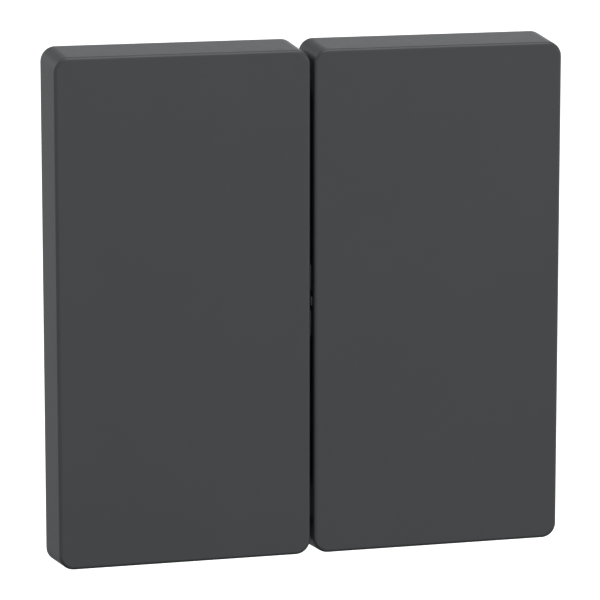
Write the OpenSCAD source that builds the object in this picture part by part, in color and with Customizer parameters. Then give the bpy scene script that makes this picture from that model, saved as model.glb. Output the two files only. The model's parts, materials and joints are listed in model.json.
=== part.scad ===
// Two-gang rocker wall switch for a 60 mm flush box, with screwless terminals and spreader claws.
// Axes: +X to the right, +Y into the wall, +Z up.
// Origin: centre of the support frame's rear face, which lies on the wall.
// Two large rocker covers clip on carriers that pivot in front of a steel support frame. A sprung
// plunger in each carrier tips a contact lever on a knife edge in the base behind the frame.

/* [Rocker covers] */
// Width of the pair of covers, measured at the face
cover_w = 70.6; // [68:0.2:85]
// Height of a cover, measured at the face
cover_h = 69.4; // [66:0.2:85]
// Depth of a cover from its face to the rear edge of its skirt
cover_depth = 8.1; // [7.2:0.1:11]
// Wall thickness of a cover
cover_wall = 1.7; // [1.2:0.1:2.2]
// Gap between the two covers
cover_gap = 0.5; // [0.4:0.05:1]
// Radius of a cover's corners
corner_r = 2; // [1.2:0.1:4]
// Radius of the edge around the face
edge_r = 0.5; // [0.2:0.05:0.9]
// Draft of the outer side walls, in degrees
side_draft = 1.2; // [0:0.1:2]
// Draft of the top and bottom walls, in degrees
end_draft = 4.7; // [0:0.1:6]

/* [Movement] */
// Tilt of a rocker to each side, in degrees
rocker_tilt = 4; // [2:0.5:4.5]
// Tilt of a contact lever to each side, in degrees
lever_tilt = 5; // [3:0.5:6]
// Push of a release button
button_travel = 1.8; // [1:0.1:2]
// Travel of a claw nut along its screw
nut_travel = 6; // [3:0.5:6.5]
// Angle of a claw's ramp to its screw, in degrees
ramp_angle = 25; // [18:1:27]

/* [Support frame] */
// Width and height of the support frame
frame_size = 69; // [67:0.5:69.5]
// Thickness of the support frame
frame_t = 1.2; // [1:0.1:1.6]
// Spacing of the box screws
box_screw_pitch = 60; // [59.5:0.1:60.5]
// Radius of a box screw hole
box_screw_r = 2; // [1.7:0.1:2.1]
// Length of the slots for the upper and lower box screws
box_slot_length = 5; // [4.4:0.1:5.2]

/* [Base] */
// Width of the base
base_w = 44; // [43:0.5:46]
// Height of the base
base_h = 48; // [47:0.5:50]
// Depth of the base behind the support frame
base_depth = 25; // [24.5:0.5:32]
// Wall thickness of the base
base_wall = 1.6; // [1.2:0.1:1.8]
// Thickness of the bearing plate in front of the frame
plate_t = 2; // [1.6:0.1:2.4]
// Thickness of the rear cover
rear_t = 1.8; // [1.4:0.1:2.2]

/* [Mechanism] */
// Distance of a carrier's centre from the middle of the switch
mech_x = 11.5; // [11.3:0.1:11.7]
// Width of a carrier
carrier_w = 15; // [13:0.5:15]
// Height of a carrier
carrier_h = 28; // [24:1:29]
// Thickness of a carrier's plate
carrier_t = 2.2; // [2:0.1:2.6]
// Radius of a carrier's trunnions
trunnion_r = 1.5; // [1.2:0.1:1.6]
// Radius of the plunger
plunger_r = 2.05; // [1.7:0.05:2.1]
// Thickness of the brass and copper strips
strip_t = 0.8; // [0.6:0.1:1]

/* [Terminals] */
// Distance of a load terminal's centre from the middle of the switch
load_x = 10.6; // [10.4:0.1:10.7]
// Spacing of the two wires in one terminal
wire_pitch = 5; // [4.8:0.1:5.2]
// Radius of a wire entry
wire_r = 1.2; // [1:0.05:1.25]

/* [Claws] */
// Distance of a claw screw from the middle of the switch
claw_x = 24; // [23.8:0.1:24.2]
// Radius of a claw screw's shank
claw_screw_r = 1.6; // [1.4:0.1:1.6]
// Thickness of a claw's steel strip
claw_t = 1.2; // [1:0.1:1.4]

/* [Hidden] */

$fn = 48;
eps = 0.01;          // thickness of a hull's slab, and how far a cut runs past a face

// Clearances
running = 0.05;      // radial, between a shaft and its bore
sliding = 0.1;       // between a sliding part and its guide
clear = 0.35;        // between parts that only pass each other

// Colours
anthracite = [0.27, 0.28, 0.28];
dark_grey = [0.2, 0.2, 0.21];
light_grey = [0.72, 0.73, 0.72];
ivory = [0.88, 0.86, 0.8];
orange = [0.9, 0.42, 0.1];
zinc = [0.7, 0.71, 0.72];
steel = [0.6, 0.6, 0.6];
brass = [0.8, 0.65, 0.3];
copper = [0.78, 0.48, 0.32];
silver = [0.85, 0.85, 0.87];

// Places along Y, from the wall plane to the face
plate_y = -(frame_t + plate_t);
skirt_half_h = cover_h / 2 + tan(end_draft) * (cover_depth - edge_r);
skirt_y = -(frame_t + skirt_half_h * sin(rocker_tilt) + clear);
face_y = skirt_y - cover_depth;
cover_inner_y = face_y + cover_wall;

// Hooks that hold a cover on its carrier
hook_w = 6;
hook_t = 1.3;
hook_lip = 0.6;
barb_t = 0.8;
hook_outer_z = carrier_h / 2 + sliding + hook_t;
carrier_rear_y = plate_y - hook_outer_z * sin(rocker_tilt) - barb_t - clear;
carrier_front_y = carrier_rear_y - carrier_t;
axis_y = (carrier_front_y + carrier_rear_y) / 2;

// Bearing lugs on both sides of a carrier
lug_t = 1.5;
lug_gap = 0.2;
lug_r = trunnion_r + 1.3;
lug_near = carrier_w / 2 + lug_gap;
lug_far = lug_near + lug_t;

// Spring tube, spring and plunger
tube_r = plunger_r + sliding + 0.95;
tube_end_y = 1;
tube_floor_y = carrier_front_y + 0.8;
plunger_front_y = -1.4;
plunger_travel = 0.8;
plunger_neck_y = 2.6;
tip_r = 1;
tip_y = 4.3;
spring_wire_r = 0.2;
spring_r = plunger_r - spring_wire_r - 0.2;
spring_turns = 5.5;
tube_sweep = (tube_end_y - axis_y) * sin(rocker_tilt);

// Contact lever on its knife edge
lever_y = tip_y + 0.15;
lever_w = 5.2;
lever_half_h = 8.6;
knife_r = 0.5;
pivot_y = lever_y + strip_t + 0.75;
saddle_half = 1.3;
contact_z = 7;
tip_contact_r = 1.4;
tip_contact_t = 0.7;
lever_end_sweep = lever_half_h * sin(lever_tilt);
tip_sweep = (contact_z + tip_contact_r) * sin(lever_tilt);
moving_tip_y = lever_y + strip_t + tip_contact_t;
fixed_tip_y = moving_tip_y + tip_sweep + 0.1;
blade_y = fixed_tip_y + tip_contact_t;
blade_rear_y = blade_y + strip_t;
stop_y = lever_y + strip_t + lever_end_sweep + 0.12;

// Terminals: the bar's outer face, the wire's centre and the button, measured from the middle
terminal_w = 9.2;
bar_z = 13;
shelf_z1 = bar_z - strip_t;
wire_z = bar_z + wire_r + 0.1;
bar_end_y = base_depth - rear_t - 2.8;
button_z0 = wire_z + wire_r + 0.5;
button_z1 = button_z0 + 2.1;
button_w = 8.4;
button_lip = 0.9;

// Clamp springs
clamp_w = 4.2;
clamp_t = 0.35;
clamp_nose_r = 2.3;
clamp_leg_angle = 30.6;
base_inner_z = base_h / 2 - base_wall;
clamp_back_z = base_inner_z - clamp_t / 2 - 0.1;
clamp_nose = [11.5, clamp_back_z - clamp_nose_r];
clamp_tip_z = bar_z + clamp_t / 2 + 0.1;
clamp_leg_start = clamp_nose + clamp_nose_r * [-sin(clamp_leg_angle), -cos(clamp_leg_angle)];
clamp_tip = [clamp_leg_start[0] + (clamp_leg_start[1] - clamp_tip_z) / tan(clamp_leg_angle), clamp_tip_z];
button_front_y = clamp_leg_start[0] + (clamp_leg_start[1] - button_z0) / tan(clamp_leg_angle)
    + clamp_t / 2 / sin(clamp_leg_angle) + clear;

// Screws that hold the plate, the frame and the base together
boss = [18.6, 16.9];
boss_r = 2.3;
pilot_r = 1.05;
screw_r = 1;
screw_clearance_r = 1.35;
screw_head_r = 2.2;
screw_head_t = 1.6;
screw_length = 9;
recess_w = 0.8;

// Outline of the base and of the plate
base_chamfer = 6;
inner_chamfer = base_chamfer - base_wall / 2;
plate_w = 42;
plate_h = 46.8;
opening_w = 37.2;
opening_h = 38;
opening_chamfer = 6;

// Claw, nut and ramp on the right side
head_r = 2.7;
head_t = 1.9;
claw_screw_end_y = 19.5;
claw_half_z = 5.6;
prong_z = claw_screw_r + 0.3;
nut_half_x = 2.7;
nut_half_z = 2.7;
nut_t = 2.4;
horn_z = nut_half_z + 0.5;
tab_y = 15;
shoe_length = 7;
tab_inner_x = claw_x - 3.8;
tab_outer_x = claw_x + 2.4;
horn_tip = [tab_outer_x + 1.5, tab_y + 5.2];
shoe_dir = [sin(ramp_angle), -cos(ramp_angle)];
ramp_gap = 0.15;
pocket_x = claw_x - 5.4;
pocket_z = claw_half_z + 0.6;
ramp_front_y = 1;
ramp_rear_y = tab_y + 1.6;
nut_y = tab_y + claw_t / 2 + ramp_gap;

// Points and profiles
function unit(v) = v / norm(v);
function arc(centre, r, from, to, steps) =
    [for (i = [0 : steps]) let (a = from + (to - from) * i / steps) centre + r * [cos(a), sin(a)]];
function rounded(x0, x1, z0, z1, r, steps = 8) = concat(
    arc([x1 - r, z1 - r], r, 0, 90, steps), arc([x0 + r, z1 - r], r, 90, 180, steps),
    arc([x0 + r, z0 + r], r, 180, 270, steps), arc([x1 - r, z0 + r], r, 270, 360, steps));
function chamfered(half_w, half_h, c) = [
    [half_w, half_h - c], [half_w - c, half_h], [c - half_w, half_h], [-half_w, half_h - c],
    [-half_w, c - half_h], [c - half_w, -half_h], [half_w - c, -half_h], [half_w, c - half_h]];
function seg_normal(p, i) = let (d = unit(p[i + 1] - p[i])) [-d[1], d[0]];
function miter(p, i) = i == 0 ? seg_normal(p, 0)
    : i == len(p) - 1 ? seg_normal(p, i - 1)
    : let (s = seg_normal(p, i - 1) + seg_normal(p, i)) 2 * s / (s * s);
// Outline of a strip of thickness t bent along the path p
function strip(p, t) = concat(
    [for (i = [0 : len(p) - 1]) p[i] + miter(p, i) * t / 2],
    [for (i = [len(p) - 1 : -1 : 0]) p[i] - miter(p, i) * t / 2]);

// Solids along an axis. The 2D profile is drawn in (X, Z), (Y, Z) or (X, Y).
module prism_y(y0, y1) { translate([0, y1, 0]) rotate([90, 0, 0]) linear_extrude(y1 - y0) children(); }
module prism_x(x0, x1) { translate([x0, 0, 0]) rotate([90, 0, 90]) linear_extrude(x1 - x0) children(); }
module prism_z(z0, z1) { translate([0, 0, z0]) linear_extrude(z1 - z0) children(); }
module rod_y(y0, y1, r) { translate([0, y0, 0]) rotate([-90, 0, 0]) cylinder(h = y1 - y0, r = r); }
module rod_x(x0, x1, r) { translate([x0, 0, 0]) rotate([0, 90, 0]) cylinder(h = x1 - x0, r = r); }
module cone_y(y0, y1, r0, r1) {
    translate([0, y0, 0]) rotate([-90, 0, 0]) cylinder(h = y1 - y0, r1 = r0, r2 = r1);
}
module block(lo, hi) { translate(lo) cube(hi - lo); }
module on_side(side) { if (side > 0) children(); else mirror([1, 0, 0]) children(); }
module both_ends() { children(); mirror([0, 0, 1]) children(); }
module four_bosses() {
    for (sx = [-1, 1], sz = [-1, 1]) translate([sx * boss[0], 0, sz * boss[1]]) children();
}

// Cross recess in a screw head whose face is at y = 0 and whose body is behind it
module cross_recess(size, depth) {
    block([-size / 2, -eps, -recess_w / 2], [size / 2, depth, recess_w / 2]);
    block([-recess_w / 2, -eps, -size / 2], [recess_w / 2, depth, size / 2]);
}

// ---- Rocker covers -------------------------------------------------------------------------

// Outline of the right cover at a depth behind the face, set in by inset
module cover_outline(depth, inset, r) {
    grow = max(depth - edge_r, 0);
    half_h = cover_h / 2 - inset + tan(end_draft) * grow;
    polygon(rounded(cover_gap / 2 + inset, cover_w / 2 - inset + tan(side_draft) * grow, -half_h, half_h, r));
}

module cover_slab(depth, inset, r) {
    translate([0, face_y + depth, 0]) prism_y(-eps, 0) cover_outline(depth, inset, r);
}

module cover_shell() {
    fillet_steps = 6;
    difference() {
        hull() {
            translate([0, eps, 0]) cover_slab(0, edge_r, corner_r - edge_r);
            for (i = [1 : fillet_steps]) {
                a = 90 * i / fillet_steps;
                cover_slab(edge_r * (1 - cos(a)), edge_r * (1 - sin(a)), corner_r - edge_r * (1 - sin(a)));
            }
            cover_slab(cover_depth, 0, corner_r);
        }
        hull() {
            cover_slab(cover_wall + eps, cover_wall, corner_r / 2);
            cover_slab(cover_depth + 1, cover_wall, corner_r / 2);
        }
        // The wall beside the gap stands clear of the bearing plate and its screws
        notch_half = plate_h / 2 + 1.6;
        notch_y = plate_y - notch_half * sin(rocker_tilt) - clear;
        block([cover_gap / 2 - 1, notch_y, -notch_half], [cover_gap / 2 + cover_wall + 0.5, 0, notch_half]);
    }
}

// Hook at the upper end of the carrier
module cover_hook() {
    z0 = carrier_h / 2 + sliding;
    block([mech_x - hook_w / 2, cover_inner_y - 0.2, z0],
        [mech_x + hook_w / 2, carrier_rear_y + barb_t, z0 + hook_t]);
    prism_x(mech_x - hook_w / 2, mech_x + hook_w / 2) polygon([
        [carrier_rear_y + running, z0 + eps], [carrier_rear_y + running, z0 - hook_lip - sliding],
        [carrier_rear_y + barb_t, z0 - hook_lip / 3], [carrier_rear_y + barb_t, z0 + eps]]);
}

module cover_ribs() {
    rib_t = 1;
    rib_x = carrier_w / 2 - 3;
    rib_y = cover_inner_y - 0.2;
    low_y = cover_inner_y + 1.2;
    for (x = [mech_x - rib_x, mech_x + rib_x])
        block([x - rib_t / 2, rib_y, -carrier_h / 2 + 1], [x + rib_t / 2, carrier_front_y, carrier_h / 2 - 1]);
    x0 = cover_gap / 2 + cover_wall - 0.2;
    x1 = cover_w / 2 - cover_wall + 0.2;
    for (z = [-24, 24]) block([x0, rib_y, z - rib_t / 2], [x1, low_y, z + rib_t / 2]);
    end_z = cover_h / 2 - cover_wall + 0.2;
    rib_far = (mech_x + carrier_w / 2 + cover_w / 2) / 2;
    block([rib_far - rib_t / 2, rib_y, -end_z], [rib_far + rib_t / 2, low_y, end_z]);
}

// Pads that keep the gap even at the pivot: two long ones, and between them a pip that comes nearer the face
pad_stand = cover_gap * 0.4;
pad_z = 0.3;
pad_half = 4.9;
pip_half = 0.6;
pad_slot = 0.85;
module spacer_pads() {
    x0 = cover_gap / 2 - pad_stand;
    x1 = cover_gap / 2 + 0.3;
    translate([0, 0, pad_z]) {
        both_ends() block([x0, face_y + 1.7, pip_half + pad_slot], [x1, face_y + 3.4, pad_half]);
        block([x0, face_y + 1.1, -pip_half], [x1, face_y + 3.4, pip_half]);
    }
}

module cover(side) {
    color(anthracite) on_side(side) union() {
        cover_shell();
        both_ends() cover_hook();
        cover_ribs();
        if (side > 0) spacer_pads();
    }
}

// ---- Carriers, springs and plungers --------------------------------------------------------

module carrier(side) {
    window_w = 3;
    color(ivory) on_side(side) translate([mech_x, 0, 0]) difference() {
        union() {
            block([-carrier_w / 2, carrier_front_y, -carrier_h / 2],
                [carrier_w / 2, carrier_rear_y, carrier_h / 2]);
            rod_y(carrier_front_y, tube_end_y, tube_r);
            // Trunnions, and the cheeks that carry them
            for (s = [-1, 1]) on_side(s) translate([carrier_w / 2, axis_y, 0]) {
                rod_x(-1.6, lug_gap + lug_t, trunnion_r);
                rod_x(-1.6, 0, trunnion_r + 1);
            }
        }
        rod_y(tube_floor_y, tube_end_y + eps, plunger_r + sliding);
        // Windows that save weight
        both_ends() block([-carrier_w / 2 + 3, carrier_front_y - eps, carrier_h / 2 - 6.5],
            [carrier_w / 2 - 3, carrier_rear_y + eps, carrier_h / 2 - 6.5 + window_w]);
    }
}

module plunger(side) {
    color(dark_grey) on_side(side) translate([mech_x, 0, 0]) difference() {
        union() {
            rod_y(plunger_front_y, plunger_neck_y, plunger_r);
            cone_y(plunger_neck_y, tip_y - tip_r, plunger_r, tip_r);
            translate([0, tip_y - tip_r, 0]) sphere(r = tip_r);
        }
        rod_y(plunger_front_y - eps, plunger_front_y + 1, plunger_r - 0.9);
    }
}

// Points of one ring of the spring, at the angle a along the helix
function spring_ring(a, y, sides) = [for (k = [0 : sides - 1])
    let (b = 360 * k / sides, r = spring_r + spring_wire_r * cos(b))
    [r * cos(a), y + spring_wire_r * sin(b), r * sin(a)]];

module plunger_spring(side) {
    sides = 6;
    per_turn = 14;
    rings = round(spring_turns * per_turn);
    y0 = tube_floor_y + spring_wire_r + 0.05;
    y1 = plunger_front_y - spring_wire_r - 0.05;
    points = [for (i = [0 : rings]) each spring_ring(360 * i / per_turn, y0 + (y1 - y0) * i / rings, sides)];
    walls = [for (i = [0 : rings - 1], k = [0 : sides - 1])
        let (n = (k + 1) % sides, here = i * sides, next = here + sides)
        each [[here + k, here + n, next + n], [here + k, next + n, next + k]]];
    ends = [[for (k = [sides - 1 : -1 : 0]) k], [for (k = [0 : sides - 1]) rings * sides + k]];
    color(steel) on_side(side) translate([mech_x, 0, 0]) polyhedron(points, concat(walls, ends));
}

// ---- Support frame, bearing plate and their screws -----------------------------------------

module support_frame() {
    half = frame_size / 2;
    frame_corner_r = 7;
    pitch = box_screw_pitch / 2;
    run = box_slot_length / 2 - box_screw_r;
    color(zinc) difference() {
        union() {
            prism_y(-frame_t, 0) polygon(rounded(-half, half, -half, half, frame_corner_r));
            // Stiffening beads
            for (s = [-1, 1]) {
                block([-12, -frame_t - 0.4, s * 25.6 - 0.6], [12, -frame_t, s * 25.6 + 0.6]);
                for (t = [-1, 1])
                    block([s * 25 - 0.6, -frame_t - 0.4, t * 14 - 6], [s * 25 + 0.6, -frame_t, t * 14 + 6]);
            }
        }
        prism_y(-frame_t - 1, 1) polygon(chamfered(opening_w / 2, opening_h / 2, opening_chamfer));
        // Box screws: round holes at the sides, slots above and below
        for (s = [-1, 1]) {
            translate([s * pitch, 0, 0]) rod_y(-frame_t - 1, 1, box_screw_r);
            for (t = [-1, 1]) translate([0, 0, s * pitch + t * run]) rod_y(-frame_t - 1, 1, box_screw_r);
            block([-box_screw_r, -frame_t - 1, s * pitch - run], [box_screw_r, 1, s * pitch + run]);
            translate([s * claw_x, 0, 0]) rod_y(-frame_t - 1, 1, claw_screw_r + 0.2);
        }
        four_bosses() rod_y(-frame_t - 1, 1, screw_clearance_r);
        // Latch windows for a cover frame
        for (sx = [-1, 1], sz = [-1, 1]) {
            block([sx * 30.5 - 1.1, -frame_t - 1, sz * 17 - 4], [sx * 30.5 + 1.1, 1, sz * 17 + 4]);
            block([sx * 17 - 4, -frame_t - 1, sz * 30.5 - 1.1], [sx * 17 + 4, 1, sz * 30.5 + 1.1]);
        }
        // A shallow recess in the middle of each edge, with an alignment notch on both sides of it
        for (a = [0 : 90 : 270]) rotate([0, a, 0]) translate([0, 0, -half]) prism_y(-frame_t - 1, 1) {
            polygon([[-7, -1], [7, -1], [5.5, 1.1], [-5.5, 1.1]]);
            for (x = [-10, 10]) translate([x, 0]) polygon([[-1.8, -1], [1.8, -1], [0.9, 0.9], [-0.9, 0.9]]);
        }
    }
}

module bearing_lug() {
    difference() {
        union() {
            translate([0, axis_y, 0]) rod_x(0, lug_t, lug_r);
            block([0, axis_y, -lug_r], [lug_t, plate_y + 0.5, lug_r]);
        }
        translate([-1, axis_y, 0]) rod_x(0, lug_t + 2, trunnion_r + running);
    }
}

module bearing_plate() {
    tube_clear = tube_r + 0.4;
    color(light_grey) difference() {
        union() {
            prism_y(plate_y, -frame_t) polygon(chamfered(plate_w / 2, plate_h / 2, 5));
            // Collar that centres the plate in the frame's opening
            difference() {
                prism_y(-frame_t - eps, -0.1)
                    polygon(chamfered(opening_w / 2 - sliding, opening_h / 2 - sliding, opening_chamfer));
                prism_y(-frame_t, 1)
                    polygon(chamfered(opening_w / 2 - 1.4, opening_h / 2 - 1.4, opening_chamfer));
            }
            for (s = [-1, 1], x = [mech_x - lug_far, mech_x + lug_near])
                on_side(s) translate([x, 0, 0]) bearing_lug();
        }
        for (s = [-1, 1]) on_side(s) {
            // Way through for the spring tube as it swings
            block([mech_x - tube_clear, plate_y - 1, -tube_clear - tube_sweep],
                [mech_x + tube_clear, 1, tube_clear + tube_sweep]);
            // Relief under the barbs of the cover's hooks
            for (t = [-1, 1]) block([mech_x - hook_w / 2 - 0.5, plate_y - 1, t * hook_outer_z - 2],
                [mech_x + hook_w / 2 + 0.5, plate_y + 0.3, t * hook_outer_z + 2]);
            // Room for the claw screw's head
            translate([claw_x, 0, 0]) rod_y(plate_y - 1, 1, head_r + clear);
        }
        four_bosses() rod_y(plate_y - 1, 1, screw_clearance_r);
    }
}

// A pan-head screw along +Y whose head sits on y = 0
module pan_screw(r, length, cap_r, cap_t) {
    difference() {
        union() {
            rod_y(0, length - r, r);
            cone_y(length - r, length, r, r * 0.3);
            rod_y(-cap_t * 0.6, 0, cap_r);
            cone_y(-cap_t, -cap_t * 0.6, cap_r * 0.75, cap_r);
        }
        translate([0, -cap_t, 0]) cross_recess(cap_r * 1.2, cap_t * 0.6);
    }
}

module assembly_screws() {
    color(zinc) four_bosses() translate([0, plate_y, 0])
        pan_screw(screw_r, screw_length, screw_head_r, screw_head_t);
}

// ---- Base and rear cover -------------------------------------------------------------------

// Face of the claw's shoe that slides on the ramp, at y
function shoe_x(y) = tab_inner_x + (tab_y - y) * tan(ramp_angle) - (claw_t / 2) / cos(ramp_angle);
function ramp_x(y) = shoe_x(y) - ramp_gap / cos(ramp_angle);

// Ramps that spread the right claw, with a channel between them for the nut
module ramps() {
    y_out = 2.2;
    channel = nut_half_z + clear;
    for (s = [-1, 1]) prism_z(s > 0 ? channel : -pocket_z, s > 0 ? pocket_z : -channel)
        polygon([[pocket_x - 0.5, ramp_front_y], [ramp_x(y_out), ramp_front_y], [ramp_x(y_out), y_out],
            [ramp_x(ramp_rear_y), ramp_rear_y], [pocket_x - 0.5, ramp_rear_y]]);
}

module base() {
    rear_y = base_depth - rear_t;
    half_w = base_w / 2;
    color(dark_grey) union() {
        difference() {
            union() {
                difference() {
                    prism_y(0, rear_y) polygon(chamfered(half_w, base_h / 2, base_chamfer));
                    prism_y(-1, rear_y + 1)
                        polygon(chamfered(half_w - base_wall, base_inner_z, inner_chamfer));
                }
                // Walls of the pockets that hold the claws
                for (s = [-1, 1]) on_side(s) block([pocket_x - base_wall, 0, -pocket_z - base_wall],
                    [half_w - 0.2, rear_y, pocket_z + base_wall]);
                four_bosses() rod_y(0, rear_y, boss_r);
            }
            for (s = [-1, 1]) on_side(s)
                block([pocket_x, -1, -pocket_z], [half_w + 1, rear_y + 1, pocket_z]);
            four_bosses() rod_y(-1, rear_y + 1, pilot_r);
        }
        for (s = [-1, 1]) on_side(s) ramps();
    }
}

// Walls of one terminal's compartment above the middle, centred at x = 0
module terminal_walls(rear_y) {
    wall_t = 0.7;
    half = terminal_w / 2 + 0.2;
    for (s = [-1, 1]) {
        x = s > 0 ? half : -half - wall_t;
        block([x, blade_rear_y, shelf_z1 - 0.6], [x + wall_t, rear_y, base_inner_z]);
    }
}

// Insert in the base: shelves that carry the rail and the blades, and walls between the terminals
module contact_block() {
    rear_y = base_depth - rear_t;
    shelf_t = 1.1;
    reach = base_w / 2 - base_wall - sliding;
    color(ivory) intersection() {
        union() {
            both_ends() block([-reach, blade_rear_y, shelf_z1 - shelf_t], [reach, rear_y, shelf_z1]);
            block([-0.7, blade_rear_y, -base_inner_z], [0.7, rear_y, shelf_z1 - 0.5]);
            terminal_walls(rear_y);
            for (s = [-1, 1]) load_place(s) terminal_walls(rear_y);
            // Ribs that stop the levers when the contacts are open
            for (s = [-1, 1]) translate([s * mech_x, 0, 0])
                block([-2, stop_y, contact_z - 0.4], [2, rear_y, shelf_z1 - shelf_t / 2]);
        }
        prism_y(0, base_depth) polygon(chamfered(reach, base_inner_z - sliding, inner_chamfer));
    }
}

// Wire entries and button slot of one terminal above the middle, centred at x = 0
module terminal_openings() {
    front_y = base_depth - rear_t - 1;
    for (s = [-1, 1]) translate([s * wire_pitch / 2, 0, wire_z]) rod_y(front_y, base_depth + 1, wire_r);
    block([-button_w / 2 - sliding, front_y, button_z0 - sliding],
        [button_w / 2 + sliding, base_depth + 1, button_z1 + sliding]);
}

// Places one terminal: the line terminal above the middle, and a load terminal below it on each side
module line_place() { children(); }
module load_place(side) { translate([side * load_x, 0, 0]) mirror([0, 0, 1]) children(); }

module rear_cover() {
    rear_y = base_depth - rear_t;
    color(dark_grey) difference() {
        prism_y(rear_y, base_depth) polygon(chamfered(base_w / 2, base_h / 2, base_chamfer));
        line_place() terminal_openings();
        for (s = [-1, 1]) load_place(s) terminal_openings();
        for (s = [-1, 1]) on_side(s)
            block([pocket_x, rear_y - 1, -pocket_z], [base_w / 2 + 1, base_depth + 1, pocket_z]);
        four_bosses() {
            rod_y(rear_y - 1, base_depth + 1, screw_clearance_r);
            cone_y(base_depth - 1.2, base_depth + eps, screw_clearance_r, screw_head_r + 0.1);
        }
    }
}

// Countersunk screws, driven from the rear
module rear_cover_screws() {
    length = 7;
    color(zinc) four_bosses() translate([0, base_depth, 0]) difference() {
        rotate([-90, 0, 0]) rotate_extrude() polygon([[0, -length], [screw_r * 0.6, -length],
            [screw_r, -length + 0.6], [screw_r, -1.2], [screw_head_r, 0], [0, 0]]);
        mirror([0, 1, 0]) cross_recess(screw_head_r * 1.1, 0.7);
    }
}

// ---- Contacts ------------------------------------------------------------------------------

// Bar of one terminal above the middle, centred at x = 0
module terminal_bar() {
    block([-terminal_w / 2, blade_y, bar_z - strip_t], [terminal_w / 2, bar_end_y, bar_z]);
}

module line_rail() {
    rail_half_z = 2;
    post_half_x = 2.2;
    leg_half_x = 3;
    color(brass) union() {
        block([-mech_x - post_half_x, blade_y, -rail_half_z],
            [mech_x + post_half_x, blade_rear_y, rail_half_z]);
        block([-leg_half_x, blade_y, 0], [leg_half_x, blade_rear_y, bar_z - strip_t / 2]);
        block([-terminal_w / 2, blade_y, bar_z - 3 * strip_t], [terminal_w / 2, blade_rear_y, bar_z]);
        terminal_bar();
        for (s = [-1, 1]) translate([s * mech_x, 0, 0]) {
            block([-post_half_x, pivot_y, -knife_r], [post_half_x, blade_y + eps, knife_r]);
            translate([0, pivot_y, 0]) rod_x(-post_half_x, post_half_x, knife_r);
        }
    }
}

module load_blade(side) {
    blade_z0 = contact_z - tip_contact_r - 0.4;
    color(brass) load_place(side) difference() {
        union() {
            block([-terminal_w / 2, blade_y, blade_z0], [terminal_w / 2, blade_rear_y, bar_z]);
            terminal_bar();
        }
        translate([side * (mech_x - load_x), 0, contact_z]) rod_y(blade_y - 1, blade_rear_y + 1, 0.7);
    }
}

module fixed_contact_tips() {
    color(silver) for (s = [-1, 1]) translate([s * mech_x, 0, -contact_z]) {
        rod_y(fixed_tip_y, blade_y, tip_contact_r);
        rod_y(blade_y - eps, blade_rear_y, 0.7);
    }
}

module contact_lever(side) {
    color(copper) on_side(side) translate([mech_x, 0, 0]) difference() {
        union() {
            block([-lever_w / 2, lever_y, -lever_half_h], [lever_w / 2, lever_y + strip_t, lever_half_h]);
            block([-lever_w / 2, lever_y + strip_t - eps, -saddle_half], [lever_w / 2, pivot_y, saddle_half]);
        }
        translate([0, pivot_y, 0]) rod_x(-lever_w, lever_w, knife_r + 2 * running);
        translate([0, 0, -contact_z]) rod_y(lever_y - 1, lever_y + strip_t + 1, 0.7);
    }
}

module moving_tip(side) {
    color(silver) on_side(side) translate([mech_x, 0, -contact_z]) {
        rod_y(lever_y, lever_y + strip_t + eps, 0.7);
        rod_y(lever_y + strip_t, moving_tip_y, tip_contact_r);
    }
}

// ---- Terminals -----------------------------------------------------------------------------

// The two clamp springs of one terminal above the middle, centred at x = 0
module clamp_springs() {
    path = concat([[bar_end_y - 1, clamp_back_z]],
        arc(clamp_nose, clamp_nose_r, 90, 270 - clamp_leg_angle, 14), [clamp_tip]);
    color(steel) for (s = [-1, 1]) translate([s * wire_pitch / 2, 0, 0])
        prism_x(-clamp_w / 2, clamp_w / 2) polygon(strip(path, clamp_t));
}

module release_button() {
    lip_y = bar_end_y + 0.6;
    color(orange) difference() {
        union() {
            block([-button_w / 2, button_front_y, button_z0], [button_w / 2, base_depth, button_z1]);
            block([-button_w / 2, lip_y, button_z0],
                [button_w / 2, base_depth - rear_t - clear, button_z1 + button_lip]);
        }
        // Seat for a screwdriver's tip
        block([-1.8, base_depth - 1.2, button_z0 + 0.6], [1.8, base_depth + 1, button_z1 - 0.6]);
    }
}

// ---- Claws ---------------------------------------------------------------------------------

module claw_screw(side) {
    color(zinc) on_side(side) translate([claw_x, -frame_t, 0])
        pan_screw(claw_screw_r, claw_screw_end_y + frame_t, head_r, head_t);
}

module claw_nut(side) {
    color(steel) on_side(side) translate([claw_x, 0, 0]) difference() {
        block([-nut_half_x, nut_y, -nut_half_z], [nut_half_x, nut_y + nut_t, nut_half_z]);
        rod_y(nut_y - 1, nut_y + nut_t + 1, claw_screw_r + running);
    }
}

// A bent strip: a forked shoe on the ramp, a tab in front of the nut, and two toothed horns beside it
module claw(side) {
    shoe_end = [tab_inner_x, tab_y] + shoe_length * shoe_dir;
    color(zinc) on_side(side) difference() {
        union() {
            prism_z(-claw_half_z, claw_half_z)
                polygon(strip([shoe_end, [tab_inner_x, tab_y], [tab_outer_x, tab_y]], claw_t));
            both_ends() intersection() {
                prism_z(horn_z, claw_half_z)
                    polygon(strip([[tab_inner_x + 1, tab_y], [tab_outer_x, tab_y], horn_tip], claw_t));
                // Two teeth on each horn
                prism_x(0, claw_x * 2) polygon([
                    [0, horn_z], [horn_tip[1] - 1.2, horn_z], [horn_tip[1] + 0.4, horn_z + 0.6],
                    [horn_tip[1] - 1.2, (horn_z + claw_half_z) / 2], [horn_tip[1] + 0.4, claw_half_z - 0.6],
                    [horn_tip[1] - 1.2, claw_half_z], [0, claw_half_z]]);
            }
        }
        // The fork is open towards the middle of the switch
        block([0, 0, -prong_z], [claw_x, claw_screw_end_y + 5, prong_z]);
        translate([claw_x, 0, 0]) rod_y(0, claw_screw_end_y + 5, prong_z);
    }
}

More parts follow.
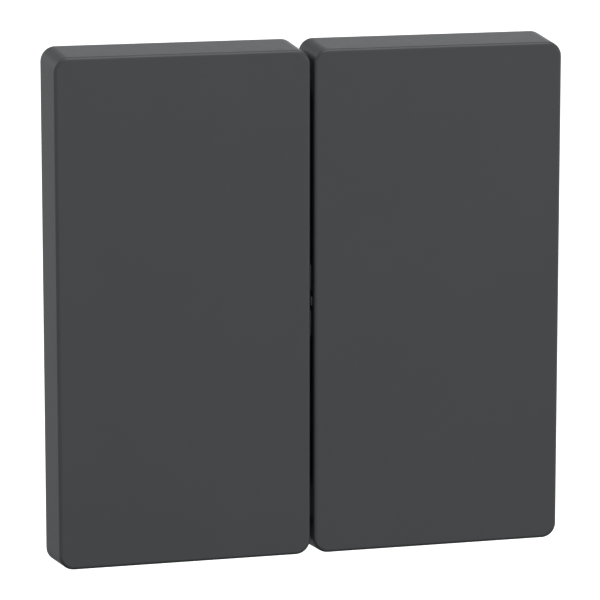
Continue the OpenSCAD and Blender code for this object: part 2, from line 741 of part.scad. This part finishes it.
cover(-1);  // cover_left
cover(1);  // cover_right
carrier(-1);  // carrier_left
carrier(1);  // carrier_right
plunger(-1);  // plunger_left
plunger(1);  // plunger_right
plunger_spring(-1);  // plunger_spring_left
plunger_spring(1);  // plunger_spring_right
support_frame();
bearing_plate();
assembly_screws();
base();
contact_block();
rear_cover();
rear_cover_screws();
line_rail();
load_blade(-1);  // load_blade_left
load_blade(1);  // load_blade_right
fixed_contact_tips();
contact_lever(-1);  // contact_lever_left
contact_lever(1);  // contact_lever_right
moving_tip(-1);  // moving_tip_left
moving_tip(1);  // moving_tip_right
line_place() clamp_springs();  // clamp_springs_line
load_place(-1) clamp_springs();  // clamp_springs_load_left
load_place(1) clamp_springs();  // clamp_springs_load_right
line_place() release_button();  // release_button_line
load_place(-1) release_button();  // release_button_load_left
load_place(1) release_button();  // release_button_load_right
claw_screw(-1);  // claw_screw_left
claw_screw(1);  // claw_screw_right
claw_nut(-1);  // claw_nut_left
claw_nut(1);  // claw_nut_right
claw(-1);  // claw_left
claw(1);  // claw_right
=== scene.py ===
"""Looks of the rocker wall switch: moulded plastics, plated steel, brass and copper, in soft light."""

import json
import math

import bmesh
import bpy
from mathutils import Matrix, Vector


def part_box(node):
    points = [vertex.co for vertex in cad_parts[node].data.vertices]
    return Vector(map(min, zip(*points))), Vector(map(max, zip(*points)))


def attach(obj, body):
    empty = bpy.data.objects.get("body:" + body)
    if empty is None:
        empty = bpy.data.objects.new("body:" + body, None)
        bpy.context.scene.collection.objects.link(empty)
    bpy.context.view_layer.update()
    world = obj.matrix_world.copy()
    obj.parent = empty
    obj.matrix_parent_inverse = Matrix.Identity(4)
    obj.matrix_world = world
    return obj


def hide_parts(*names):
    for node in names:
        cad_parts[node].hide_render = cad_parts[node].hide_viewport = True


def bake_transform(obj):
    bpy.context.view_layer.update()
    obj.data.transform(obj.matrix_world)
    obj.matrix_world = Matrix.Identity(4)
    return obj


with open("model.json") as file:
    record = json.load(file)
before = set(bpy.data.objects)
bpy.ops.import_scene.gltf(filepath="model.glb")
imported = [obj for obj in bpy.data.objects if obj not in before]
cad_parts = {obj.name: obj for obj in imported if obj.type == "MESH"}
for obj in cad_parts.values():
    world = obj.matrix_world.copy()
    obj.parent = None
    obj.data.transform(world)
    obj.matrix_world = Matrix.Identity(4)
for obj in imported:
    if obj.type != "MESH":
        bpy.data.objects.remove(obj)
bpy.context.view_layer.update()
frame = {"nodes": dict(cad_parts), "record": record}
NODES = frame["nodes"]
SIDES = ("left", "right")
TERMINALS = ("line", "load_left", "load_right")
MM = 0.001

# Sockets of a Mix node that mixes colours: its names repeat, so they are given by number
MIX_A = 6
MIX_B = 7
MIX_RESULT = 2


def add_object(name, data):
    """A new object in the scene."""
    obj = bpy.data.objects.new(name, data)
    bpy.context.scene.collection.objects.link(obj)
    return obj


# ---- Node trees -----------------------------------------------------------------------------------


class Nodes:
    """A node tree with short calls to add and link its nodes. Scales of noise are per metre."""

    def __init__(self, tree, coords):
        self.tree = tree
        self.coords = self.add("TexCoord").outputs[coords]

    def add(self, kind, **values):
        """A shader node of that kind, with its settings."""
        node = self.tree.nodes.new("ShaderNode" + kind)
        for key, value in values.items():
            setattr(node, key, value)
        return node

    def link(self, source, socket):
        self.tree.links.new(source, socket)

    def scaled(self, scale):
        """The coordinates, multiplied by scale along X, Y and Z."""
        mapping = self.add("Mapping")
        mapping.inputs["Scale"].default_value = scale
        self.link(self.coords, mapping.inputs["Vector"])
        return mapping.outputs["Vector"]

    def noise(self, scale, detail=4.0, roughness=0.5, stretch=(1, 1, 1)):
        node = self.add("TexNoise")
        node.inputs["Scale"].default_value = scale
        node.inputs["Detail"].default_value = detail
        node.inputs["Roughness"].default_value = roughness
        self.link(self.scaled(stretch), node.inputs["Vector"])
        return node.outputs["Fac"]

    def ramp(self, fac, stops):
        """A colour that runs through the stops, each a place from 0 to 1 and its colour."""
        node = self.add("ValToRGB")
        elements = node.color_ramp.elements
        while len(elements) < len(stops):
            elements.new(0.5)
        for element, (place, colour) in zip(elements, stops):
            element.position = place
            element.color = (*colour, 1)
        self.link(fac, node.inputs["Fac"])
        return node.outputs["Color"]

    def span(self, fac, low, high, start=0.0, end=1.0):
        """From low, where fac is at start, to high, where it is at end."""
        node = self.add("MapRange")
        node.inputs["From Min"].default_value = start
        node.inputs["From Max"].default_value = end
        node.inputs["To Min"].default_value = low
        node.inputs["To Max"].default_value = high
        self.link(fac, node.inputs["Value"])
        return node.outputs["Result"]

    def mix(self, fac, low, high):
        """From low, where fac is 0, to high, where it is 1. Each is a socket or a fixed colour."""
        node = self.add("Mix", data_type="RGBA")
        self.link(fac, node.inputs["Factor"])
        for index, colour in ((MIX_A, low), (MIX_B, high)):
            if isinstance(colour, tuple):
                node.inputs[index].default_value = (*colour, 1)
            else:
                self.link(colour, node.inputs[index])
        return node.outputs[MIX_RESULT]

    def multiply(self, one, two):
        """Two colours, multiplied."""
        node = self.add("Mix", data_type="RGBA", blend_type="MULTIPLY")
        node.inputs["Factor"].default_value = 1
        self.link(one, node.inputs[MIX_A])
        self.link(two, node.inputs[MIX_B])
        return node.outputs[MIX_RESULT]

    def bump(self, height, strength, distance, under=None):
        """A bumped normal, on top of the normal under it if there is one."""
        node = self.add("Bump")
        node.inputs["Strength"].default_value = strength
        node.inputs["Distance"].default_value = distance
        self.link(height, node.inputs["Height"])
        if under is not None:
            self.link(under, node.inputs["Normal"])
        return node.outputs["Normal"]


class Material(Nodes):
    """A material with one Principled shader."""

    def __init__(self, name):
        self.mat = bpy.data.materials.new(name)
        self.mat.use_nodes = True
        super().__init__(self.mat.node_tree, "Object")
        self.shader = self.tree.nodes["Principled BSDF"]

    def feed(self, socket, source):
        """Link a source to a socket of the shader."""
        self.link(source, self.shader.inputs[socket])

    def set(self, **values):
        """Fixed values of the shader's sockets, with an underscore for each space in a name."""
        for key, value in values.items():
            self.shader.inputs[key.replace("_", " ")].default_value = value


# ---- Materials ------------------------------------------------------------------------------------


def shade(colour, factor):
    return tuple(min(1.0, part * factor) for part in colour)


def drifting(m, fac, colour, drift):
    """The colour, from drift darker to drift lighter, over the middle part of fac."""
    start = 0.3
    end = 0.7
    return m.ramp(fac, [(start, shade(colour, 1 - drift)), (end, shade(colour, 1 + drift))])


def rubbed_edges(m, colour, lift, width):
    """Colour that turns to lift within width, in millimetres, of an edge, where hands and tools rub."""
    # The dot product of the flat and the rounded normal where an edge counts as wholly rubbed
    wholly_rubbed = 0.8
    least_rubbed = 0.2
    patch_scale = 700
    geometry = m.add("NewGeometry")
    bevel = m.add("Bevel", samples=6)
    bevel.inputs["Radius"].default_value = width * MM
    turn = m.add("VectorMath", operation="DOT_PRODUCT")
    m.link(bevel.outputs["Normal"], turn.inputs[0])
    m.link(geometry.outputs["Normal"], turn.inputs[1])
    patchy = m.add("Math", operation="MULTIPLY")
    m.link(m.span(turn.outputs["Value"], 0.0, 1.0, start=1.0, end=wholly_rubbed), patchy.inputs[0])
    m.link(m.span(m.noise(patch_scale, detail=3), least_rubbed, 1.0), patchy.inputs[1])
    return m.mix(patchy.outputs["Value"], colour, lift)


def painted_recess_shade(m, colour, dark, reach):
    """Painted shade: colour that falls to dark in corners and recesses less than reach wide, in
    millimetres, as ambient occlusion finds them.
    """
    shadow = m.add("AmbientOcclusion", samples=8, only_local=True)
    shadow.inputs["Distance"].default_value = reach * MM
    return m.mix(shadow.outputs["AO"], dark, colour)


def plastic(name, colour, roughness, grain=9000, grain_depth=0.004, drift=0.03, worn=1.25, octaves=3):
    """Moulded plastic: eroded grain, drift of tone in so many octaves, flow marks and rubbed edges."""
    tone_scale = 60
    gloss_scale = 900
    gloss_spread = 0.03
    flow_scale = 110
    flow_depth = 0.02
    rubbed_width = 0.25
    m = Material(name)
    tone = drifting(m, m.noise(tone_scale, octaves, roughness=0.65), colour, drift)
    m.feed("Base Color", rubbed_edges(m, tone, shade(colour, worn), rubbed_width))
    gloss = m.noise(gloss_scale, detail=3)
    m.feed("Roughness", m.span(gloss, roughness - gloss_spread, roughness + gloss_spread))
    fine = m.bump(m.noise(grain, detail=2, roughness=0.6), strength=0.35, distance=grain_depth * MM)
    flow = m.noise(flow_scale, detail=2)
    m.feed("Normal", m.bump(flow, strength=0.15, distance=flow_depth * MM, under=fine))
    m.set(IOR=1.5)
    return m.mat


def metal(name, colour, roughness, brushed=(1, 1, 1), depth=0.003):
    """Metal with a drawn or tumbled surface, streaked along the axis that brushed stretches least."""
    streak_scale = 2500
    tone_scale = 300
    tone_drift = 0.06
    gloss_spread = 0.08
    # Painted shade in recesses: how dark it gets, as a share of the colour, and how far it reaches, in
    # millimetres
    recess_shade = 0.12
    recess_shade_reach = 0.7
    m = Material(name)
    streaks = m.noise(streak_scale, detail=3, roughness=0.6, stretch=brushed)
    tone = drifting(m, m.noise(tone_scale, detail=4, roughness=0.6), colour, tone_drift)
    # Painted shade: the base colour darkens in corners and recesses, where ambient occlusion finds shade
    m.feed("Base Color", painted_recess_shade(m, tone, shade(colour, recess_shade), recess_shade_reach))
    m.feed("Roughness", m.span(streaks, roughness - gloss_spread, roughness + gloss_spread))
    m.feed("Normal", m.bump(streaks, strength=0.4, distance=depth * MM))
    m.set(Metallic=1.0)
    return m.mat


def galvanised(name):
    """Galvanised sheet steel: crystals a few millimetres wide that differ in tone and gloss."""
    crystal_scale = 260
    dark = (0.56, 0.575, 0.59)
    pale = (0.67, 0.68, 0.69)
    grain_scale = 1800
    grain_depth = 0.006
    m = Material(name)
    cells = m.add("TexVoronoi", feature="F1")
    cells.inputs["Scale"].default_value = crystal_scale
    m.link(m.coords, cells.inputs["Vector"])
    split = m.add("SeparateColor")
    m.link(cells.outputs["Color"], split.inputs["Color"])
    m.feed("Base Color", m.ramp(split.outputs["Red"], [(0.0, dark), (1.0, pale)]))
    m.feed("Roughness", m.span(split.outputs["Green"], 0.34, 0.44))
    grain = m.noise(grain_scale, detail=4, roughness=0.6)
    m.feed("Normal", m.bump(grain, strength=0.3, distance=grain_depth * MM))
    m.set(Metallic=1.0)
    return m.mat


# Streaks of drawn and of rolled metal, along Y or Z
DRAWN_Y = (1, 0.08, 1)
DRAWN_Z = (1, 1, 0.08)
ROLLED_Y = (1, 0.1, 1)
ROLLED_Z = (1, 1, 0.1)

MATERIALS = {
    "rocker_plastic": plastic("anthracite_plastic", (0.0522, 0.0550, 0.0566), 0.34),
    "carrier_plastic": plastic("ivory_plastic", (0.66, 0.62, 0.53), 0.36, drift=0.02, worn=1.1),
    "plunger_plastic": plastic("acetal_plastic", (0.045, 0.045, 0.048), 0.3),
    "plate_plastic": plastic("light_grey_plastic", (0.46, 0.47, 0.46), 0.42, drift=0.02, worn=1.1),
    "base_plastic": plastic("dark_grey_plastic", (0.047, 0.048, 0.051), 0.5, grain=1700, grain_depth=0.07,
                            drift=0.24, worn=1.7, octaves=6),
    "button_plastic": plastic("orange_plastic", (0.76, 0.2, 0.03), 0.34, worn=1.15),
    "frame_steel": galvanised("galvanised_steel"),
    "screw_steel": metal("zinc_plate", (0.66, 0.68, 0.72), 0.26, depth=0.002),
    "claw_steel": metal("spring_steel_plate", (0.55, 0.56, 0.58), 0.34, DRAWN_Z),
    "spring_steel": metal("bright_spring_steel", (0.62, 0.62, 0.63), 0.22, DRAWN_Y),
    "brass": metal("stamped_brass", (0.78, 0.57, 0.26), 0.28, ROLLED_Y),
    "copper": metal("stamped_copper", (0.82, 0.45, 0.3), 0.3, ROLLED_Z),
    "silver": metal("contact_silver", (0.86, 0.86, 0.88), 0.24, depth=0.002),
}
SLOTS = {entry["node"]: entry["material_slot"] for entry in frame["record"]["subparts"]}


def paint(obj, slot):
    """Give an object the one material of its slot."""
    obj.data.materials.clear()
    obj.data.materials.append(MATERIALS[slot])


# ---- Softened edges -------------------------------------------------------------------------------

SMOOTH_BELOW = math.radians(32)
BEVEL_ABOVE = math.radians(40)
FLAT_WITHIN = math.radians(1)
# Width of the softened edges, in millimetres, for the slots that differ from the rest
EDGE = {"rocker_plastic": 0.12, "frame_steel": 0.08, "base_plastic": 0.2, "screw_steel": 0.04}
EDGE_OF_THE_REST = 0.1


def smooth_by_angle(limit):
    """A node group that shades smooth across every edge whose faces meet at less than the limit."""
    tree = bpy.data.node_groups.new("smooth_by_angle", "GeometryNodeTree")
    for way in ("INPUT", "OUTPUT"):
        tree.interface.new_socket("Geometry", in_out=way, socket_type="NodeSocketGeometry")
    start = tree.nodes.new("NodeGroupInput")
    end = tree.nodes.new("NodeGroupOutput")
    angle = tree.nodes.new("GeometryNodeInputMeshEdgeAngle")
    compare = tree.nodes.new("FunctionNodeCompare")
    compare.data_type = "FLOAT"
    compare.operation = "LESS_THAN"
    compare.inputs["B"].default_value = limit
    faces = tree.nodes.new("GeometryNodeSetShadeSmooth")
    faces.domain = "FACE"
    edges = tree.nodes.new("GeometryNodeSetShadeSmooth")
    edges.domain = "EDGE"
    tree.links.new(start.outputs[0], faces.inputs["Geometry"])
    tree.links.new(faces.outputs[0], edges.inputs["Geometry"])
    tree.links.new(angle.outputs["Unsigned Angle"], compare.inputs["A"])
    tree.links.new(compare.outputs["Result"], edges.inputs["Shade Smooth"])
    tree.links.new(edges.outputs[0], end.inputs[0])
    return tree


SMOOTH = smooth_by_angle(SMOOTH_BELOW)


def smooth_curves(obj):
    """Shade an object's curved sides smooth, and leave its sharp edges."""
    smooth = obj.modifiers.new("smooth", "NODES")
    smooth.node_group = SMOOTH


def soften(obj, width):
    """Round the sharp edges of a part by width, in millimetres, and shade its curves smooth."""
    weld = obj.modifiers.new("weld", "WELD")
    weld.merge_threshold = 0.001 * MM
    flat = obj.modifiers.new("flat", "DECIMATE")
    flat.decimate_type = "DISSOLVE"
    flat.angle_limit = FLAT_WITHIN
    bevel = obj.modifiers.new("bevel", "BEVEL")
    bevel.width = width * MM
    bevel.segments = 2
    bevel.limit_method = "ANGLE"
    bevel.angle_limit = BEVEL_ABOVE
    smooth_curves(obj)
    weighted = obj.modifiers.new("weighted", "WEIGHTED_NORMAL")
    weighted.keep_sharp = True
    weighted.weight = 80


for node, obj in NODES.items():
    paint(obj, SLOTS[node])
    soften(obj, EDGE.get(SLOTS[node], EDGE_OF_THE_REST))

# ---- Meshes from rings of points ------------------------------------------------------------------


def new_piece(name, mesh, slot):
    """A new piece with the material of its slot."""
    obj = add_object(name, mesh)
    mesh.materials.append(MATERIALS[slot])
    return obj


def skin(bm, rings):
    """Faces between each ring of vertices and the next, and a cap on both ends."""
    count = len(rings[0])
    for one, two in zip(rings, rings[1:]):
        for k in range(count):
            n = (k + 1) % count
            bm.faces.new((one[k], one[n], two[n], two[k]))
    bm.faces.new(rings[0][::-1])
    bm.faces.new(rings[-1])


def mesh_from(bm, name, smooth_sides=False):
    """The finished mesh, its normals outward, and its four-cornered faces smooth if smooth_sides."""
    bmesh.ops.recalc_face_normals(bm, faces=bm.faces)
    for face in bm.faces:
        face.smooth = smooth_sides and len(face.verts) == 4
    mesh = bpy.data.meshes.new(name)
    bm.to_mesh(mesh)
    bm.free()
    return mesh


def turned(step, count):
    """The angle of one step out of count round a full turn."""
    return 2 * math.pi * step / count


def direction(path, i):
    """From the point before to the point after, at point i of a path."""
    return path[min(i + 1, len(path) - 1)] - path[max(i - 1, 0)]


# ---- Springs --------------------------------------------------------------------------------------


def tube_mesh(name, path, radius, sides):
    """A round wire along a path of points, narrower at its two ends."""
    end_share = 0.55
    bm = bmesh.new()
    rings = []
    for i, point in enumerate(path):
        ahead = direction(path, i)
        side = Vector((0, 1, 0)).cross(ahead).normalized()
        up = ahead.cross(side).normalized()
        size = radius * (end_share if i in (0, len(path) - 1) else 1)
        angles = [turned(k, sides) for k in range(sides)]
        spokes = [math.cos(a) * side + math.sin(a) * up for a in angles]
        rings.append([bm.verts.new(point + size * spoke) for spoke in spokes])
    skin(bm, rings)
    return mesh_from(bm, name, smooth_sides=True)


def plunger_spring(side):
    """A compression spring whose end turns lie flat, from the rocker's tube to the plunger."""
    node = f"plunger_spring_{side}"
    low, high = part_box(node)
    wire = 0.2 * MM
    turns = 6.5
    closed = 0.9
    closed_rise = 2.1 * wire
    steps_per_turn = 28
    centre = (low + high) / 2
    coil = (high.x - low.x) / 2 - wire
    y0 = low.y + wire
    y1 = high.y - wire
    open_rise = y1 - y0 - 2 * closed_rise
    open_turns = turns - 2 * closed
    path = []
    for i in range(round(turns * steps_per_turn) + 1):
        turn = i / steps_per_turn
        start = min(turn, closed) / closed
        middle = min(max(turn - closed, 0), open_turns) / open_turns
        end = max(turn - (turns - closed), 0) / closed
        y = y0 + closed_rise * (start + end) + open_rise * middle
        a = 2 * math.pi * turn
        path.append(Vector((centre.x + coil * math.cos(a), y, centre.z + coil * math.sin(a))))
    name = f"coil_spring_{side}"
    spring = new_piece(name, tube_mesh(name, path, wire, sides=12), "spring_steel")
    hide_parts(node)
    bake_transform(spring)


def strip_mesh(name, strips, path, thickness, width):
    """Flat strips of one bent path in the YZ plane, one at each X."""
    half = Vector((width / 2, 0, 0))
    bm = bmesh.new()
    for x in strips:
        rings = []
        for i, point in enumerate(path):
            ahead = direction(path, i).normalized()
            out = Vector((0, -ahead.z, ahead.y)) * thickness / 2
            middle = Vector((x, point.y, point.z))
            one = middle + out
            two = middle - out
            corners = (one - half, one + half, two + half, two - half)
            rings.append([bm.verts.new(corner) for corner in corners])
        skin(bm, rings)
    return mesh_from(bm, name)


def clamp_springs(terminal):
    """Two bent strips that press the wires on the bar. A release button pushes their legs forward."""
    node = f"clamp_springs_{terminal}"
    low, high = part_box(node)
    thickness = 0.35 * MM
    width = 4.2 * MM
    nose_r = 2.3 * MM
    edge = 0.06
    leg_angle = math.radians(30.6)
    back_steps = 6
    nose_steps = 28
    leg_steps = 10

    # The path of an upper terminal's strip: back, nose, leg
    up = 1 if low.z + high.z > 0 else -1
    back_z = max(abs(low.z), abs(high.z)) - thickness / 2
    nose = Vector((0, low.y + nose_r + thickness / 2, back_z - nose_r))
    leg_start = nose - nose_r * Vector((0, math.sin(leg_angle), math.cos(leg_angle)))
    tip_z = min(abs(low.z), abs(high.z)) + thickness / 2 * math.cos(leg_angle)
    path = [Vector((0, high.y + (nose.y - high.y) * i / back_steps, back_z)) for i in range(back_steps)]
    for i in range(nose_steps + 1):
        a = math.pi / 2 + (math.pi - leg_angle) * i / nose_steps
        path.append(nose + nose_r * Vector((0, math.cos(a), math.sin(a))))
    run = Vector((0, math.cos(leg_angle), -math.sin(leg_angle)))
    length = (leg_start.z - tip_z) / math.sin(leg_angle)
    path += [leg_start + run * length * i / leg_steps for i in range(1, leg_steps + 1)]
    path = [Vector((0, point.y, up * point.z)) for point in path]

    centre_x = (low.x + high.x) / 2
    offset = (high.x - low.x - width) / 2
    name = f"clamp_strips_{terminal}"
    mesh = strip_mesh(name, (centre_x - offset, centre_x + offset), path, thickness, width)
    piece = new_piece(name, mesh, "spring_steel")
    soften(piece, edge)
    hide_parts(node)
    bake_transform(piece)


for side in SIDES:
    plunger_spring(side)
for terminal in TERMINALS:
    clamp_springs(terminal)

# ---- Claw screws ----------------------------------------------------------------------------------

SCREW_R = 1.6 * MM
HEAD_R = 2.7 * MM
HEAD_T = 1.9 * MM
THREAD_PITCH = 0.6 * MM
THREAD_DEPTH = 0.32 * MM


def screw_profile(y0, y1):
    """Rings (y, radius, thread depth) of a pan-head screw from the head's face at y0 to the tip at y1."""
    inner = 0.25
    flat = 0.7
    dome_rise = 0.62 * HEAD_T
    dome_steps = 8
    rim = 0.1 * MM
    fillet_r = 1.75 * MM
    fillet_end = 0.15 * MM
    neck_end = 2.4 * MM
    thread_start = 2.6 * MM
    rings_per_turn = 8
    tip_steps = 6
    tip_taper = 0.7

    rings = [(y0, inner * HEAD_R, 0), (y0, flat * HEAD_R, 0)]
    for i in range(1, dome_steps + 1):
        a = math.pi / 2 * i / dome_steps
        radius = HEAD_R * (flat + (1 - flat) * math.sin(a))
        rings.append((y0 + dome_rise * (1 - math.cos(a)), radius, 0))
    under = y0 + HEAD_T
    rings += [(under - rim, HEAD_R, 0), (under, HEAD_R - rim, 0), (under, fillet_r, 0)]
    neck = SCREW_R - THREAD_DEPTH / 2
    rings += [(under + fillet_end, neck, 0), (under + neck_end, neck, 0)]
    start = under + thread_start
    end = y1 - SCREW_R
    steps = round((end - start) / (THREAD_PITCH / rings_per_turn))
    for i in range(steps + 1):
        y = start + (end - start) * i / steps
        depth = THREAD_DEPTH * min(1, (y - start) / THREAD_PITCH)
        rings.append((y, SCREW_R - (THREAD_DEPTH - depth) / 2, depth))
    for i in range(1, tip_steps + 1):
        share = i / tip_steps
        radius = SCREW_R * (1 - tip_taper * share)
        rings.append((end + SCREW_R * share, radius, THREAD_DEPTH * (1 - share)))
    return rings


def thread_wave(phase):
    """0 on the crest and 1 in the root, with a flat on both."""
    crest = 0.12
    flank = 0.72
    ramp = abs((phase % 1) * 2 - 1)
    return min(1, max(0, (ramp - crest) / flank))


def cross_cutter(centre, y0):
    """A tapered cross that cuts the recess in the head."""
    arm = 1.62 * MM
    half = 0.4 * MM
    above = 0.5 * MM
    depth = 1.1 * MM
    size_above = 1.1
    size_below = 0.62
    outline = []
    for k in range(4):
        a = turned(k, 4)
        for u, v in ((half, -half), (arm, -half), (arm, half)):
            outline.append((u * math.cos(a) - v * math.sin(a), u * math.sin(a) + v * math.cos(a)))
    bm = bmesh.new()
    rings = []
    for y, size in ((y0 - above, size_above), (y0 + depth, size_below)):
        rings.append([bm.verts.new((centre.x + x * size, y, centre.z + z * size)) for x, z in outline])
    skin(bm, rings)
    return add_object("cross_cutter", mesh_from(bm, "cross_cutter"))


def cut_away(obj, cutter):
    """Cut the cutter out of an object's mesh, and remove the cutter."""
    cut = obj.modifiers.new("cut", "BOOLEAN")
    cut.operation = "DIFFERENCE"
    cut.solver = "EXACT"
    cut.object = cutter
    bpy.context.view_layer.update()
    result = bpy.data.meshes.new_from_object(obj.evaluated_get(bpy.context.evaluated_depsgraph_get()))
    obj.modifiers.clear()
    obj.data = result
    bpy.data.objects.remove(cutter)


def claw_screw(side):
    """A threaded screw with a cross recess, in the place of the plain CAD screw."""
    node = f"claw_screw_{side}"
    low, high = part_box(node)
    centre = (low + high) / 2
    sides = 40
    bm = bmesh.new()
    rings = []
    for y, radius, depth in screw_profile(low.y, high.y):
        ring = []
        for k in range(sides):
            a = turned(k, sides)
            r = radius - depth * thread_wave(y / THREAD_PITCH - k / sides)
            ring.append(bm.verts.new((centre.x + r * math.cos(a), y, centre.z + r * math.sin(a))))
        rings.append(ring)
    skin(bm, rings)
    name = f"threaded_screw_{side}"
    screw = new_piece(name, mesh_from(bm, name), "screw_steel")
    cut_away(screw, cross_cutter(centre, low.y))
    smooth_curves(screw)
    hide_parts(node)
    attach(screw, node)


for side in SIDES:
    claw_screw(side)

# ---- Floor, light and camera ----------------------------------------------------------------------

FLOOR_Z = -0.16
FLOOR_HALF = 6.0
FLOOR_GLOW = 0.8
WHITE = (1, 1, 1)

# Brightness of the studio by direction, from -1 to 1 along each axis
STUDIO_LEVEL = 1.3
STUDIO_TINT = (0.97, 1.0, 1.01)
BY_HEIGHT = (
    (-1, 0.08), (-0.45, 0.3), (-0.18, 0.765), (0.2, 1.14), (0.36, 0.34),
    (0.55, 0.25), (0.75, 0.6), (0.92, 1.2), (1, 1.2),
)
BY_ACROSS = ((-1, 0.72), (-0.27, 0.52), (0.27, 0.92), (1, 1.0))
BY_ALONG = ((-1, 1.0), (-0.3, 0.95), (0.3, 0.75), (1, 0.68))


def make_floor():
    """A plain pale floor that neither lights the object nor shows in its reflections."""
    size = FLOOR_HALF
    dark = (0.9, 0.9, 0.9)
    pale = (0.92, 0.92, 0.92)
    corners = ((-size, -size), (size, -size), (size, size), (-size, size))
    mesh = bpy.data.meshes.new("floor")
    mesh.from_pydata([(x, y, FLOOR_Z) for x, y in corners], [], [(0, 1, 2, 3)])
    floor = add_object("floor", mesh)
    m = Material("floor_paint")
    m.feed("Base Color", m.ramp(m.noise(2, detail=3), [(0.3, dark), (0.7, pale)]))
    m.set(Roughness=0.9, Emission_Color=(*WHITE, 1), Emission_Strength=FLOOR_GLOW)
    mesh.materials.append(m.mat)
    floor.visible_diffuse = False
    floor.visible_glossy = False


def area_light(name, place, size, power):
    """A round lamp that points at the object's middle."""
    data = bpy.data.lights.new(name, "AREA")
    data.shape = "DISK"
    data.size = size
    data.energy = power
    light = add_object(name, data)
    light.location = place
    light.rotation_mode = "QUATERNION"
    light.rotation_quaternion = (-Vector(place)).to_track_quat("-Z", "Y")


def make_world():
    """A soft studio all round, as bright in each direction as the three tables say."""
    world = bpy.data.worlds.new("studio")
    bpy.context.scene.world = world
    world.use_nodes = True
    w = Nodes(world.node_tree, "Generated")
    split = w.add("SeparateXYZ")
    w.link(w.coords, split.inputs["Vector"])

    def curve(axis, levels, tint=WHITE):
        """Brightness along one axis, as a colour."""
        place = w.span(split.outputs[axis], 0.0, 1.0, start=-1, end=1)
        stops = [((at + 1) / 2, tuple(level * part for part in tint)) for at, level in levels]
        return w.ramp(place, stops)

    height = curve("Z", BY_HEIGHT, STUDIO_TINT)
    across = curve("X", BY_ACROSS)
    along = curve("Y", BY_ALONG)
    studio = w.tree.nodes["Background"]
    w.link(w.multiply(w.multiply(height, across), along), studio.inputs["Color"])
    studio.inputs["Strength"].default_value = STUDIO_LEVEL

    # The backdrop that the camera sees is plain white
    backdrop = w.add("Background")
    backdrop.inputs["Color"].default_value = (*WHITE, 1)
    choose = w.add("MixShader")
    w.link(w.add("LightPath").outputs["Is Camera Ray"], choose.inputs["Fac"])
    for index, source in enumerate((studio, backdrop), start=1):
        w.link(source.outputs["Background"], choose.inputs[index])
    w.link(choose.outputs["Shader"], w.tree.nodes["World Output"].inputs["Surface"])


def make_camera():
    """The view: from the left and a little above, with a long lens."""
    forward = Vector((0.26501, 0.94699, -0.18162))
    right = Vector((0.96300, -0.26949, 0.0))
    left_of_middle = 0.13814
    before_face = 0.48729
    above_middle = 0.09421
    data = bpy.data.cameras.new("camera")
    data.lens = 228.43
    data.sensor_width = 36
    data.clip_start = 0.01
    data.clip_end = 50
    camera = add_object("camera", data)
    face_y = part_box("cover_right")[0].y
    place = (-left_of_middle, face_y - before_face, above_middle)
    turn = Matrix((right, right.cross(forward), -forward)).transposed().to_4x4()
    camera.matrix_world = Matrix.Translation(place) @ turn
    bpy.context.scene.camera = camera


make_floor()
make_world()
area_light("overhead", (0.2, -0.45, 0.9), size=0.9, power=3)
area_light("behind", (-0.9, 0.7, 0.7), size=0.5, power=1.4)
make_camera()
bpy.context.scene.view_settings.view_transform = "Standard"
